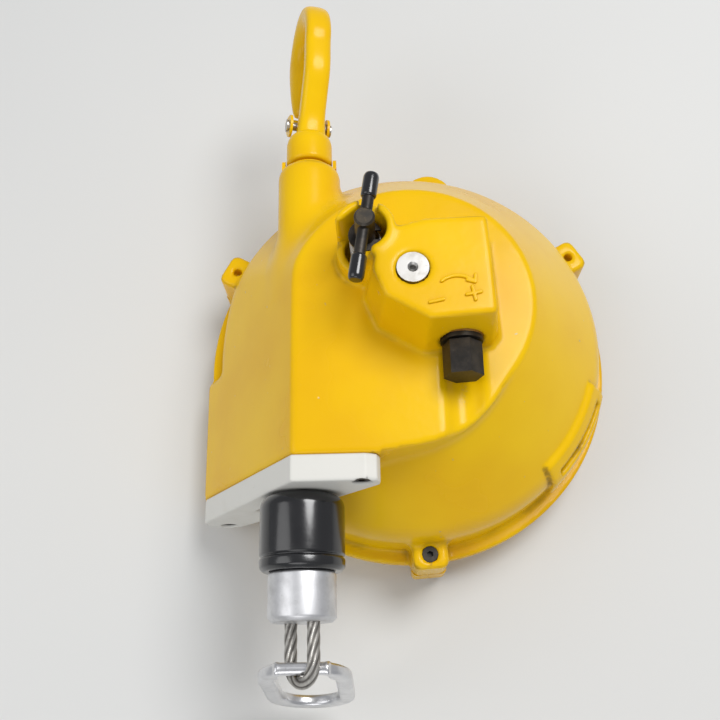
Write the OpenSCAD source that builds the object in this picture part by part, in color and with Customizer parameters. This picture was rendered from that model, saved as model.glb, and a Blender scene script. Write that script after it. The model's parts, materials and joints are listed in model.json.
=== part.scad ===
// Spring balancer with a tapered rope drum, lying on its back.
// +Z is the main shaft's axis, out of the front. +Y points to the suspension hook,
// and the rope leaves towards -Y. The origin is on the shaft's axis, in the back face.

/* [Case] */
// Diameter of the flange where the case meets its back cover
rim_d = 240; // [236:1:244]
// Diameter of the upright wall above the flange
wall_d = 224; // [222:1:226]
// Height of the flange's joint face above the back face
split_z = 26; // [25:0.5:27]
// Height where the upright wall turns into the taper
taper_z = 64; // [62:1:66]
// Height of the front face above the back face
front_z = 135; // [134:1:136]
// Radius of the front face
front_r = 63; // [62:1:64]
// Thickness of the cast walls
wall_t = 5; // [4.5:0.5:5.5]
// Thickness of the front plate
plate_t = 8; // [8:0.5:8.5]

/* [Load line] */
// Distance of the rope from the shaft's axis
line_x = 58; // [58:0.5:58.5]
// Distance of the hook's swivel axis from the shaft's axis
hook_x = 54.5; // [54:0.5:57]
// Height of the hook and rope above the back face
line_z = 102; // [102:0.5:102.5]
// Distance from the shaft's axis to the guide's joint face
mouth_y = 80; // [80:0.5:81]
// Thickness of the nylon rope guide
guide_t = 13.5; // [12:0.5:14]
// Diameter of the wire rope
rope_d = 6.5; // [6:0.1:6.6]

/* [Gear block] */
// Height of the gear block's top above the back face
block_z = 171; // [170.5:0.5:172]
// Gear module of the worm and its wheel
gear_m = 1.25; // [1.25:0.05:1.25]
// Number of teeth on the worm wheel
wheel_n = 23; // [23:1:23]
// Distance from the shaft's axis to the worm's axis
worm_x = 23.5; // [23.5:0.1:23.6]
// Height of the worm's axis
worm_z = 144.5; // [144:0.5:145]
// Width across the flats of the adjusting hexagon
hex_af = 17; // [16:1:17]

/* [Drum] */
// Turns of rope on the drum
turns = 6; // [5:1:6]
// Distance between two turns, along the shaft
turn_pitch = 8.5; // [8:0.1:8.6]
// Growth of the drum's radius for each millimetre of height
drum_taper = 0.577; // [0.56:0.001:0.577]

/* [Hidden] */

$fn = 96;
e = 0.01;

// Colours
enamel = [0.93, 0.74, 0.03];
nylon = [0.93, 0.92, 0.88];
steel = [0.62, 0.62, 0.60];
dark_steel = [0.24, 0.23, 0.22];
rubber = [0.05, 0.05, 0.05];
bronze = [0.66, 0.48, 0.24];
satin = [0.80, 0.81, 0.83];

// Case
seam = 0.4;
rim_r = rim_d / 2;
wall_r = wall_d / 2;
flange_t = 4;
taper = (wall_r - front_r) / (front_z - taper_z);
side_top_x = -61;
side_slope = 60 / 103;
lug_angles = [31, 151, 274];
lug_r = 118;
lug_top = 53;
lug_foot = 7;
eye_x = 18;
eye_y = 118;
eye_r = 5;
eye_top = split_z + 10;
neck_r = 17.7;
neck_top = 96;
neck_seat = 84;
neck_bore = 9.5;

// Gears
wheel_r = gear_m * wheel_n / 2;
worm_r = worm_x - wheel_r;
worm_pitch = PI * gear_m;
block_face = -27.5;
worm_seat_r = 10.6;
shaft_r = 8;
shaft_nose_r = 7.75;
fit = 0.05;

// Drum lock
lock_x = -22.3;
lock_y = 22.8;
lock_r = 5;
lock_angle = atan2(lock_y, lock_x);
lock_teeth = 8;
bar_z = block_z + 4.1;
bar_turn = 81;

// Drum
drum_top = 112;
drum_foot = 50;
cup_r = 97;
clip_z = [front_z - plate_t - 8.5, drum_top + 0.3];

// Rope, hook and latch
rope_r = rope_d / 2;
bumper_top = mouth_y + guide_t + 0.3;
bumper_end = 132;
ferrule_end = 156;
loop_r = 9.6;
loop_y = 174.1;
loop_turn = -50;
link_r = 3.05;
link_y = -loop_y - loop_r + rope_r + link_r + 0.2;
link_w = 47;
link_lean = 12;
link_len = 62;
hook_turn = 17;
hook_c = 178;
hook_r = 22;
latch_u = 3;
latch_y = 128;

function side_x(z) = side_top_x - (front_z - z) * side_slope;
function turn_z(i) = line_z - i * turn_pitch;
function turn_r(i) = line_x + i * turn_pitch * drum_taper;

// The room to the right of the flat flank, moved in by the given gap
module flank_room(gap) {
  rotate([90, 0, 0])
    translate([0, 0, -200])
      linear_extrude(400)
        polygon([
          [side_top_x + gap, 300], [side_top_x + gap, front_z], [side_x(-20) + gap, -20],
          [200, -20], [200, 300]
        ]);
}

// Outline of the rope mouth and its guide, seen along Y
module mouth_outline() {
  polygon([
    [side_top_x, front_z], [-25, front_z], [-19.5, front_z - 2], [-18, front_z - 7],
    [-18, front_z - 12], [-95, 20], [-102, 12], [-109, 9], [-117, 11], [-122, 18],
    [-122.5, 25], [side_x(32), 32]
  ]);
}

// The same outline moved in by the wall thickness
module mouth_hollow() {
  polygon([
    [-58, front_z - plate_t], [-30, front_z - plate_t], [-25, front_z - 11],
    [-25, front_z - 15], [-93, 30], [-101, 30], [-114.5, 32]
  ]);
}

module along_y(from, to) {
  translate([0, to, 0])
    rotate([90, 0, 0])
      linear_extrude(to - from)
        children();
}

// Outline of the front face, seen along Z
module front_outline() {
  hull() {
    circle(r = front_r - 0.3);
    translate([-6, -19]) circle(r = 58);
    translate([side_top_x, -mouth_y]) square([41, 1]);
  }
}

module lug_outline() {
  translate([100, -10]) square([23, 20]);
  translate([100, -7]) square([26, 14]);
  for (side = [-7, 7]) translate([123, side]) circle(r = 3);
}

module lugs(from, to) {
  for (a = lug_angles) rotate(a)
    translate([0, 0, from]) linear_extrude(to - from) lug_outline();
}

module lug_holes(r, from, to) {
  for (a = lug_angles) rotate(a)
    translate([lug_r, 0, from]) cylinder(r = r, h = to - from);
}

module safety_eye() {
  translate([eye_x, eye_y - 2, split_z + seam]) cylinder(r = 16, h = eye_top - split_z - seam);
}

// Domed neck that the hook turns in
module neck() {
  translate([-hook_x, 0, line_z])
    rotate([-90, 0, 0])
      rotate_extrude()
        polygon([
          [0, 40], [neck_r, 40], [neck_r, neck_top - 9],
          for (a = [15:15:75]) [neck_r - 5 + 5 * cos(a), neck_top - 9 + 9 * sin(a)],
          [neck_r - 5, neck_top], [0, neck_top]
        ]);
}

// Housing of the worm and its wheel, with a drafted wall
module gear_block() {
  hull() {
    translate([0, 0, block_z - 2]) linear_extrude(2) polygon([
      [-8.5, 22], [6.3, 26], [34.4, 27], [36.6, 26], [38.5, -21.5], [37, -23.5],
      [7, -25.6], [-13.2, -13.4], [-18.8, 0.4], [-17, 12]
    ]);
    translate([0, 0, front_z - 3]) linear_extrude(2) polygon([
      [-12, 27], [6.3, 31], [38, 31], [42, 28], [44.5, -25], [40, -30.5],
      [9, -30.5], [-16.3, -15], [-21, -4.3], [-21, 12]
    ]);
  }
}

module lock_boss() {
  translate([lock_x, lock_y, front_z - 3]) cylinder(r = 13.8, h = block_z - front_z + 3);
}

// Raised frame of the slot in the upright wall
module slot_frame() {
  rotate([0, 0, -47])
    rotate_extrude(angle = 31)
      polygon([[wall_r - 4, 33], [wall_r + 2.5, 36], [wall_r + 2.5, 62], [wall_r - 4, 70]]);
}

module case_skin() {
  intersection() {
    rotate_extrude() polygon([
      [0, split_z], [rim_r, split_z], [rim_r, split_z + flange_t],
      [wall_r + 2, split_z + flange_t], [wall_r, split_z + flange_t + 3], [wall_r, taper_z],
      [front_r, front_z], [0, front_z]
    ]);
    flank_room(0);
  }
  intersection() {
    along_y(-mouth_y, -8) mouth_outline();
    translate([-150, -150, split_z + seam]) cube([300, 300, 150]);
  }
  translate([0, 0, front_z - 24]) linear_extrude(24) front_outline();
}

// Room inside the case for the drum and the rope
module case_room() {
  intersection() {
    rotate_extrude() polygon([
      [0, split_z - 1], [wall_r - wall_t, split_z - 1], [wall_r - wall_t, taper_z - 1.5],
      [front_r - 7.5 + taper * plate_t, front_z - plate_t], [0, front_z - plate_t]
    ]);
    flank_room(wall_t / cos(atan(side_slope)));
  }
  along_y(-mouth_y - 1, -8) mouth_hollow();
}

module front_case() {
  color(enamel) difference() {
    union() {
      case_skin();
      lugs(split_z + seam, lug_top);
      safety_eye();
      neck();
      gear_block();
      lock_boss();
      slot_frame();
    }
    case_room();
    // seat of the rope guide in the round wall
    along_y(-140, -mouth_y) mouth_outline();
    // slot in the wall
    rotate([0, 0, -43]) rotate_extrude(angle = 23)
      translate([wall_r - 12, 46]) square([20, 5]);
    // wrench flute under the hexagon
    translate([worm_x + 1, -31, front_z + 6])
      rotate([90, 0, 0]) cylinder(r = 11, h = 70);
    // cavity of the gear block
    translate([0, 0, front_z - plate_t - 1])
      cylinder(r = 16.2, h = block_z - 8 - front_z + plate_t + 1);
    translate([0, 0, block_z - 9]) cylinder(r = shaft_nose_r + fit, h = 20);
    translate([worm_x, 17, worm_z]) rotate([90, 0, 0]) cylinder(r = 11.4, h = 35);
    translate([worm_x, 22, worm_z]) rotate([90, 0, 0]) cylinder(r = 8, h = 6);
    translate([worm_x, 0, worm_z]) rotate([90, 0, 0]) cylinder(r = worm_seat_r, h = 60);
    // bearing plate's screw holes
    for (a = [60:90:330]) rotate(a)
      translate([21, 0, front_z - plate_t - 1]) cylinder(r = 2, h = 7);
    // pocket and bore of the drum lock
    translate([lock_x, lock_y, front_z]) cylinder(r = 9.8, h = 60);
    translate([lock_x, lock_y, front_z - 20]) cylinder(r = 7.5, h = 30);
    lock_notch();
    // neck bore, and the seat of the thrust bearing
    translate([-hook_x, neck_seat, line_z]) rotate([90, 0, 0]) cylinder(r = 13, h = 50);
    translate([-hook_x, 110, line_z]) rotate([90, 0, 0]) cylinder(r = neck_bore, h = 40);
    // screw holes
    lug_holes(2.6, split_z - 1, lug_top - 6);
    for (a = [lug_angles[0], lug_angles[1]]) rotate(a)
      translate([lug_r, 0, lug_top - 7]) cylinder(r = 2.6, h = 10);
    rotate(lug_angles[2]) translate([lug_r, 0, lug_top - 6]) cylinder(r = 4.5, h = 10);
    translate([eye_x, eye_y, 0]) cylinder(r = eye_r, h = 60);
    translate([eye_x, eye_y, eye_top - 0.8]) cylinder(r1 = eye_r, r2 = eye_r + 0.8, h = 0.8 + e);
    guide_screw_at(0) cylinder(r = 2.5, h = 22);
  }
}

// Notches in the lock boss below the bar, and its open corner
module lock_notch() {
  translate([lock_x, lock_y, block_z - 5.5]) rotate(bar_turn)
    translate([-18, -4.6, 0]) cube([36, 9.2, 10]);
  translate([lock_x, lock_y, front_z + 8]) rotate(205)
    translate([0, -2, 0]) cube([22, 16, 40]);
}

module back_cover() {
  color(enamel) difference() {
    union() {
      rotate_extrude() polygon([
        [0, 0], [96, 0], [102, 2], [105, 6], [wall_r, split_z - flange_t],
        [rim_r, split_z - flange_t], [rim_r, split_z], [0, split_z]
      ]);
      lugs(lug_foot, split_z - seam);
      translate([eye_x, eye_y - 2, split_z - flange_t]) cylinder(r = 16, h = flange_t - seam);
      intersection() {
        along_y(-mouth_y, -8) mouth_outline();
        translate([-150, -150, 2]) cube([300, 300, split_z - 2 - seam]);
      }
    }
    difference() {
      rotate_extrude() polygon([
        [0, 4], [95, 4], [99, 6], [wall_r - wall_t, 18], [wall_r - wall_t, split_z + 1],
        [0, split_z + 1]
      ]);
      cylinder(r = 17, h = 10);
    }
    translate([0, 0, 3]) cylinder(r = 12, h = 20);
    lug_holes(2.1, lug_foot - 1, split_z + 1);
    for (a = [lug_angles[0], lug_angles[1]]) rotate(a)
      translate([lug_r, 0, lug_foot - 1]) cylinder(r = 4.5, h = 7);
    guide_screw_at(1) cylinder(r = 2.5, h = 22);
    translate([eye_x, eye_y, -1]) cylinder(r = eye_r, h = 60);
  }
}

// Cap screw of metric size d with its head at z = 0 and its thread below
module cap_screw(d, length, head_r, head_h) {
  difference() {
    union() {
      cylinder(r = head_r, h = head_h);
      translate([0, 0, -length]) cylinder(r = d / 2, h = length + e);
    }
    translate([0, 0, head_h * 0.45]) cylinder(r = d * 0.46, h = head_h, $fn = 6);
  }
}

module cover_screws() {
  color(dark_steel) {
    rotate(lug_angles[2]) translate([lug_r, 0, lug_top - 6]) cap_screw(4.1, 36, 4.25, 5);
    for (a = [lug_angles[0], lug_angles[1]]) rotate(a)
      translate([lug_r, 0, lug_foot + 6]) mirror([0, 0, 1]) cap_screw(4.1, 30, 4.25, 5);
  }
}

// Places a screw of the guide: its axis along Y, z = 0 at the joint face, +z into the case
module guide_screw_at(i) {
  at = i == 0 ? [-27, front_z - 5.5] : [-109, 18];
  translate([at[0], -mouth_y - e, at[1]]) rotate([-90, 0, 0]) children();
}

module wire_guide() {
  color(nylon) difference() {
    along_y(-mouth_y - guide_t, -mouth_y) mouth_outline();
    // slot that the rope wanders along as the drum unwinds
    along_y(-mouth_y - guide_t - 1, -mouth_y + 1) rope_slot(4);
    for (i = [0, 1]) guide_screw_at(i) {
      translate([0, 0, -guide_t - 1]) cylinder(r = 2.6, h = guide_t + 2);
      translate([0, 0, -guide_t - 1]) cylinder(r = 5, h = 7);
    }
  }
}

module rope_slot(r) {
  travel = (turns - 1) * turn_pitch;
  translate([-line_x, line_z]) circle(r = r);
  translate([-line_x - travel * drum_taper, line_z - travel]) circle(r = r);
  translate([-line_x, line_z]) rotate(-90 - atan(drum_taper))
    translate([0, -r]) square([travel / cos(atan(drum_taper)), 2 * r]);
}

module guide_screws() {
  color(dark_steel) for (i = [0, 1]) guide_screw_at(i)
    translate([0, 0, -guide_t + 6]) mirror([0, 0, 1]) cap_screw(5, 26, 4.25, 5);
}

module bearing_plate() {
  color(steel) difference() {
    union() {
      translate([0, 0, front_z - plate_t - 5]) cylinder(r = 26, h = 5);
      translate([0, 0, front_z - plate_t - 5]) cylinder(r = 16.1, h = 9);
    }
    cylinder(r = 12, h = 200);
    for (a = [60:90:330]) rotate(a) translate([21, 0, 0]) cylinder(r = 2.2, h = 200);
  }
}

module bearing_plate_screws() {
  color(dark_steel) for (a = [60:90:330]) rotate(a)
    translate([21, 0, front_z - plate_t - 5]) mirror([0, 0, 1]) cap_screw(3.9, 10, 3.4, 2.5);
}

module bush(r_in, r_out, h, flange_r, flange_h) {
  difference() {
    union() {
      cylinder(r = r_out, h = h);
      cylinder(r = flange_r, h = flange_h);
    }
    translate([0, 0, -1]) cylinder(r = r_in, h = h + 2);
  }
}

module front_bush() {
  color(bronze) translate([0, 0, front_z - plate_t - 6.5])
    bush(shaft_r + fit, 12, 10.5, 14, 1.5);
}

module rear_bush() {
  color(bronze) translate([0, 0, 3]) bush(shaft_r + fit, 12, 8, 12, 1);
}

module worm_bushes() {
  color(bronze) {
    translate([worm_x, block_face + 1, worm_z]) rotate([-90, 0, 0])
      bush(6 + fit, worm_seat_r, 8, worm_seat_r, 1);
    translate([worm_x, 16.2, worm_z]) rotate([-90, 0, 0]) bush(6 + fit, 8, 5.5, 8, 1);
  }
}

module neck_bush() {
  color(bronze) translate([-hook_x, neck_seat + 0.5, line_z]) rotate([-90, 0, 0])
    bush(7.5 + fit, neck_bore, neck_top - neck_seat - 0.5, neck_bore, 1);
}

// Washer with two ears turned up beside the hook's collar
module tab_washer() {
  color(enamel) translate([-hook_x, neck_top + e, line_z]) rotate([-90, 0, 0]) {
    difference() {
      union() {
        cylinder(r = 12.4, h = 1.2);
        intersection() {
          cylinder(r = 15.7, h = 1.2);
          translate([-16, -3, 0]) cube([32, 6, 2]);
        }
        for (side = [-1, 1]) translate([side * 14.7 - 1, -3, 0]) ear();
      }
      translate([0, 0, -1]) cylinder(r = 7.8, h = 5);
    }
  }
}

module ear() {
  cube([2, 6, 4]);
  translate([0, 3, 4]) rotate([0, 90, 0]) cylinder(r = 3, h = 2);
}

module lock_bush() {
  color(steel) translate([lock_x, lock_y, front_z - plate_t]) bush(lock_r + fit, 7.5, 10, 7.5, 1);
}

module main_shaft() {
  color(steel) difference() {
    union() {
      translate([0, 0, 4.5]) cylinder(r = shaft_r, h = worm_z + 8 - 4.5);
      translate([0, 0, worm_z + 8 - e]) cylinder(r = shaft_nose_r, h = block_z + 0.3 - worm_z - 8);
    }
    // centre drilling in the nose
    translate([0, 0, block_z - 4]) cylinder(r = 1.6, h = 10);
    translate([0, 0, block_z - 0.7]) cylinder(r1 = 1.6, r2 = 2.8, h = 1.2);
    // keyway of the worm wheel
    translate([5.5, -2, worm_z - 5]) cube([4, 4, 10]);
    for (z = clip_z) circlip_groove(z, shaft_r);
  }
}

module circlip_groove(z, r) {
  translate([0, 0, z]) difference() {
    cylinder(r = r + 1, h = 1.3);
    translate([0, 0, -1]) cylinder(r = r - 0.6, h = 4);
  }
}

module worm_wheel() {
  color(bronze) difference() {
    union() {
      translate([0, 0, worm_z - 3]) linear_extrude(6) wheel_outline();
      translate([0, 0, worm_z - 5]) cylinder(r = 11, h = 10);
    }
    cylinder(r = shaft_r, h = 200);
    translate([0, -2, worm_z - 10]) cube([10.2, 4, 20]);
  }
}

// Straight-flanked teeth, with a gap facing the worm
module wheel_outline() {
  root = wheel_r - 1.25 * gear_m;
  circle(r = root);
  for (i = [0:wheel_n - 1]) rotate((i + 0.5) * 360 / wheel_n)
    polygon([
      [root - 1, -1.35], [wheel_r, -0.62], [wheel_r + 0.9, -0.3],
      [wheel_r + 0.9, 0.3], [wheel_r, 0.62], [root - 1, 1.35]
    ]);
}

module wheel_key() {
  color(steel) translate([5.5, -2, worm_z - 5]) cube([4.7, 4, 10]);
}

module shaft_circlips() {
  color(dark_steel) for (z = clip_z) translate([0, 0, z]) circlip(shaft_r, 3);
}

module circlip(r, reach) {
  difference() {
    cylinder(r = r + reach, h = 1.2);
    translate([0, 0, -1]) cylinder(r = r - 0.6, h = 4);
    translate([0, -2.5, -1]) cube([40, 5, 4]);
  }
}

module spring_arbor() {
  color(steel) difference() {
    translate([0, 0, 12]) cylinder(r = 15, h = drum_foot - 12.5);
    cylinder(r = shaft_r, h = 100);
    rotate(200) translate([13, -1.5, 0]) cube([5, 3, 100]);
  }
}

// One point of the worm's thread: a is the angle round the worm, from the wheel's side
function thread_point(a, r, dy) =
  [-r * cos(a), worm_pitch * a / 360 + dy, r * sin(a)];

module worm_thread() {
  core = worm_r - 1.3 * gear_m - 0.4;
  tip = worm_r + 0.9;
  steps = 24;
  laps = 5;
  n = steps * laps;
  pts = [
    for (i = [0:n]) let (a = (i - n / 2) * 360 / steps)
      each [
        thread_point(a, core, -1.25), thread_point(a, tip, -0.35),
        thread_point(a, tip, 0.35), thread_point(a, core, 1.25)
      ]
  ];
  faces = [
    [3, 2, 1, 0],
    [4 * n, 4 * n + 1, 4 * n + 2, 4 * n + 3],
    for (i = [0:n - 1]) for (k = [0:3]) let (j = (k + 1) % 4)
      [4 * i + j, 4 * i + 4 + j, 4 * i + 4 + k, 4 * i + k]
  ];
  polyhedron(points = pts, faces = faces, convexity = 10);
}

module worm_shaft() {
  color(dark_steel) translate([worm_x, 0, worm_z]) {
    worm_thread();
    rotate([90, 0, 0]) {
      translate([0, 0, -14]) cylinder(r = worm_r - 1.3 * gear_m, h = 28);
      translate([0, 0, -21.5]) cylinder(r = 6, h = 52);
      translate([0, 0, -block_face + 2]) rotate(12)
        cylinder(r = hex_af / 2 / cos(30), h = 17, $fn = 6);
    }
  }
}

module worm_washer() {
  color(dark_steel) translate([worm_x, block_face + 0.9, worm_z]) rotate([90, 0, 0])
    difference() {
      cylinder(r = 10.5, h = 2.2);
      translate([0, 0, -1]) cylinder(r = 6, h = 6);
    }
}

module worm_circlip() {
  color(dark_steel) translate([worm_x, 15.9, worm_z]) rotate([90, 0, 0]) circlip(6.6, 1.5);
}

// Radius of the drum's surface between its grooves
function drum_skin(z) = line_x + (line_z - z) * drum_taper - 2;

module rope_drum() {
  foot = turn_z(turns - 1) - 4;
  color(steel) difference() {
    rotate_extrude() polygon([
      [16, drum_foot], [24, drum_foot], [24, drum_top - 7], [drum_skin(105) - 7, drum_top - 7],
      [drum_skin(drum_foot) - 7, drum_foot], [cup_r, drum_foot], [cup_r, foot],
      [drum_skin(foot), foot], [drum_skin(107.5), 107.5], [64, 107.5], [64, drum_top],
      [16, drum_top]
    ]);
    for (i = [0:turns - 1]) translate([0, 0, turn_z(i)]) rotate_extrude()
      translate([turn_r(i), 0]) circle(r = rope_r);
    for (i = [0:5]) rotate(60 * i) translate([88, 0, 0]) cylinder(r = 2.5, h = 100);
    for (i = [0:3]) rotate(lock_angle + 22.5 + 90 * i)
      translate([32, 0, drum_top - 5]) cylinder(r = 2, h = 10);
  }
}

module drum_bearings() {
  color(bronze) for (z = [drum_foot, drum_top - 9]) translate([0, 0, z])
    bush(shaft_r + fit, 16, 9, 16, 1);
}

// Ring of holes that the lock pin drops into
module lock_ring() {
  color(dark_steel) translate([0, 0, drum_top]) difference() {
    cylinder(r = 41, h = 5);
    translate([0, 0, -1]) cylinder(r = 23, h = 8);
    for (i = [0:lock_teeth - 1]) rotate(lock_angle + i * 360 / lock_teeth)
      translate([norm([lock_x, lock_y]), 0, -1]) cylinder(r = lock_r + 0.9, h = 8);
    for (i = [0:3]) rotate(lock_angle + 22.5 + 90 * i) translate([32, 0, 0]) flat_head_room(2);
  }
}

// Countersunk screw pointing down, its head's face 5 mm above z = 0
module flat_head_room(r) {
  translate([0, 0, -1]) cylinder(r = r, h = 8);
  translate([0, 0, 5 - r]) cylinder(r1 = r, r2 = 2 * r, h = r);
}

module lock_ring_screws() {
  color(steel) for (i = [0:3]) rotate(lock_angle + 22.5 + 90 * i)
    translate([32, 0, drum_top]) difference() {
      union() {
        translate([0, 0, -4.8]) cylinder(r = 2, h = 9);
        translate([0, 0, 3]) cylinder(r1 = 2, r2 = 4, h = 2);
      }
      translate([0, 0, 3.4]) cylinder(r = 1.4, h = 4, $fn = 6);
    }
}

module spring_cup() {
  color(steel) difference() {
    translate([0, 0, 20]) cylinder(r = cup_r, h = drum_foot - 20);
    translate([0, 0, 19]) cylinder(r = cup_r - 5, h = drum_foot - 24);
    cylinder(r = 16, h = 100);
    for (i = [0:5]) rotate(60 * i) translate([88, 0, 0]) {
      cylinder(r = 2.5, h = 100);
      translate([0, 0, 45 - e]) cylinder(r1 = 5 + e, r2 = 2.5, h = 2.5 + e);
    }
    for (i = [0:5]) rotate(60 * i + 30) translate([cup_r - 2.5, 0, 0]) cylinder(r = 1.4, h = 32);
    rotate(15) translate([85, 0, 0]) cylinder(r = 3, h = 48);
  }
}

module drum_screws() {
  color(dark_steel) for (i = [0:5]) rotate(60 * i) translate([88, 0, 45]) difference() {
    union() {
      cylinder(r = 2.5, h = 10);
      cylinder(r1 = 5, r2 = 2.5, h = 2.5);
    }
    translate([0, 0, -1]) cylinder(r = 1.7, h = 2.6, $fn = 6);
  }
}

module spring_cover() {
  color(steel) difference() {
    translate([0, 0, 16]) cylinder(r = cup_r, h = 4);
    cylinder(r = 16, h = 100);
    for (i = [0:5]) rotate(60 * i + 30) translate([cup_r - 2.5, 0, 15]) cylinder(r = 1.5, h = 9);
    rotate(15) translate([85, 0, 15]) cylinder(r = 3, h = 8);
  }
}

module spring_cover_screws() {
  color(dark_steel) for (i = [0:5]) rotate(60 * i + 30)
    translate([cup_r - 2.5, 0, 16]) mirror([0, 0, 1]) cap_screw(2.8, 14, 2.4, 1.8);
}

module spring_anchor_pin() {
  color(dark_steel) rotate(15) translate([85, 0, 16.2]) cylinder(r = 3, h = 31);
}

// Flat spiral spring between the arbor and the cup
module mainspring() {
  laps = 12;
  steps = 20;
  r0 = 15.4;
  r1 = 80;
  n = laps * steps;
  color(dark_steel) translate([0, 0, 22]) linear_extrude(21) polygon([
    for (i = [0:n]) let (a = 200 + i * 360 / steps, r = r0 + (r1 - r0) * i / n)
      [r * cos(a), r * sin(a)],
    for (i = [n:-1:0]) let (a = 200 + i * 360 / steps, r = r0 + 1.2 + (r1 - r0) * i / n)
      [r * cos(a), r * sin(a)]
  ]);
}

module rope_windings() {
  color(steel) for (i = [0:turns - 1]) translate([0, 0, turn_z(i)])
    rotate(i == 0 ? 212 : 0) rotate_extrude(angle = i == 0 ? 328 : 360)
      translate([turn_r(i), 0]) circle(r = rope_r);
}

module rope_anchor() {
  color(dark_steel) rotate(20) translate([86.5, -5, turn_z(turns - 1) - 4]) difference() {
    cube([9, 10, 5]);
    translate([5, 5, 3]) cylinder(r = 1.7, h = 4, $fn = 6);
  }
}

module rope_run() {
  color(steel) translate([-line_x, -0.1, line_z]) rotate([90, 0, 0])
    cylinder(r = rope_r, h = bumper_top - 0.2);
}

// Revolves a profile of [radius, distance from the shaft's axis] about the load line
module on_rope() {
  translate([-line_x, 0, line_z]) rotate([90, 0, 0]) rotate_extrude() children();
}

module rubber_bumper() {
  color(rubber) on_rope() polygon([
    [rope_r, bumper_top],
    for (a = [90:-15:0]) [14.5 + 7 * cos(a), bumper_top + 7 - 7 * sin(a)],
    [21.5, bumper_end - 8], [20.8, bumper_end - 7.4], [20.8, bumper_end - 6.6],
    [21.5, bumper_end - 6], [21.5, bumper_end - 2], [19.5, bumper_end], [rope_r, bumper_end]
  ]);
}

module ferrule() {
  color(satin) difference() {
    on_rope() polygon([
      [0, bumper_end], [16, bumper_end], [17, bumper_end + 1], [17, ferrule_end - 2],
      [15, ferrule_end], [0, ferrule_end]
    ]);
    rope_path(0.02);
  }
}

// Rope end: it enters the ferrule as one strand and leaves it as a loop
module rope_path(gap) {
  translate([-line_x, 0, line_z]) {
    translate([0, -bumper_top - 0.3, 0]) rotate([90, 0, 0])
      cylinder(r = rope_r + gap, h = 141 - bumper_top);
    rotate([0, loop_turn, 0]) {
      for (side = [-1, 1]) translate([side * loop_r, -138, 0]) rotate([90, 0, 0])
        cylinder(r = rope_r + gap, h = loop_y - 138);
      translate([-loop_r, -138.3 - rope_r, 0]) rotate([0, 90, 0])
        cylinder(r = rope_r + gap - 0.3, h = 2 * loop_r);
      translate([0, -loop_y, 0]) rotate([0, 0, 180]) rotate_extrude(angle = 180)
        translate([loop_r, 0]) circle(r = rope_r + gap);
    }
  }
}

module rope_eye() {
  color(steel) rope_path(0);
}

// Flat ring whose top bar is turned round where the rope holds it
module end_link() {
  color(satin) translate([-line_x, link_y, line_z]) rotate([-link_lean, 0, 0]) {
    along_y(-link_r, link_r) difference() {
      link_outline(0);
      link_outline(8.5);
      translate([-12, -12]) square([24, 19.5]);
    }
    translate([-13, 0, 0]) rotate([0, 90, 0]) cylinder(r = link_r, h = 26);
  }
}

module link_outline(inset) {
  r = link_w / 2 - inset;
  translate([0, 4 - link_w / 2 + 9]) {
    translate([-r, 17 - link_len]) square([2 * r, link_len - 24.5]);
    translate([0, 17 - link_len]) circle(r = r);
    intersection() {
      translate([0, -7.5]) circle(r = r);
      translate([-50, -8]) square([100, 100 ]);
    }
  }
}

// Hook: stations of [across, along, half depth, half width]
hook_path = [
  [0, 110, 10, 9.5], [-1, 121, 9.5, 8], [-5, 131, 8.4, 7.3], [-12, 142, 7.8, 7.2],
  [-19, 154, 7.6, 7.2], each [for (a = [200:-20:20]) hook_arc(a)],
  [22, 178, 7, 7], [22.3, 170, 6.2, 6.6], [22.8, 162, 5.2, 6], [23.2, 154, 4, 5],
  [23.4, 149.5, 2.2, 3.2]
];

function hook_arc(a) = [
  hook_r * cos(a), hook_c + hook_r * sin(a), 7.4 - 0.9 * max(0, sin(a)), 7.2
];

function turn_of(i, p) =
  let (q = p[min(i + 1, len(p) - 1)] - p[max(i - 1, 0)]) [q[0], q[1]] / norm([q[0], q[1]]);

module hook_body() {
  sides = 16;
  n = len(hook_path);
  pts = [
    for (i = [0:n - 1]) let (p = hook_path[i], t = turn_of(i, hook_path))
      each [
        for (k = [0:sides - 1]) let (a = k * 360 / sides, s = sin(a))
          let (d = p[2] * s, w = p[3] * cos(a) * (1 - 0.3 * s))
            [p[0] - t[1] * d, p[1] + t[0] * d, w]
      ]
  ];
  faces = [
    [for (k = [sides - 1:-1:0]) k],
    [for (k = [0:sides - 1]) (n - 1) * sides + k],
    for (i = [0:n - 2]) for (k = [0:sides - 1]) let (j = (k + 1) % sides)
      [i * sides + k, i * sides + j, (i + 1) * sides + j, (i + 1) * sides + k]
  ];
  polyhedron(points = pts, faces = faces, convexity = 6);
}

// Frame of the hook: x across towards the bill, y along the load line, z sideways
module hook_frame() {
  translate([-hook_x, 0, line_z]) rotate([0, 90 + hook_turn, 0]) children();
}

module hook() {
  color(dark_steel) hook_frame() difference() {
    union() {
      hook_body();
      rotate([-90, 0, 0]) rotate_extrude() polygon([
        [0, 58], [7.5, 58], [7.5, 99], [12, 99], [13.2, 100.5], [13.2, 113],
        [12.3, 116.5], [10, 119], [0, 120]
      ]);
    }
    translate([latch_u, latch_y, -20]) cylinder(r = 2.5, h = 40);
    translate([0, 69, -20]) cylinder(r = 2, h = 40);
  }
}

module hook_nut() {
  color(steel) hook_frame() difference() {
    translate([0, 62, 0]) rotate([-90, 0, 0]) cylinder(r = 12.6, h = 14, $fn = 6);
    rotate([-90, 0, 0]) cylinder(r = 7.5, h = 100);
    translate([0, 69, -20]) cylinder(r = 2, h = 40);
  }
}

module nut_pin() {
  color(dark_steel) hook_frame() translate([0, 69, -10]) cylinder(r = 2, h = 20);
}

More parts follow.
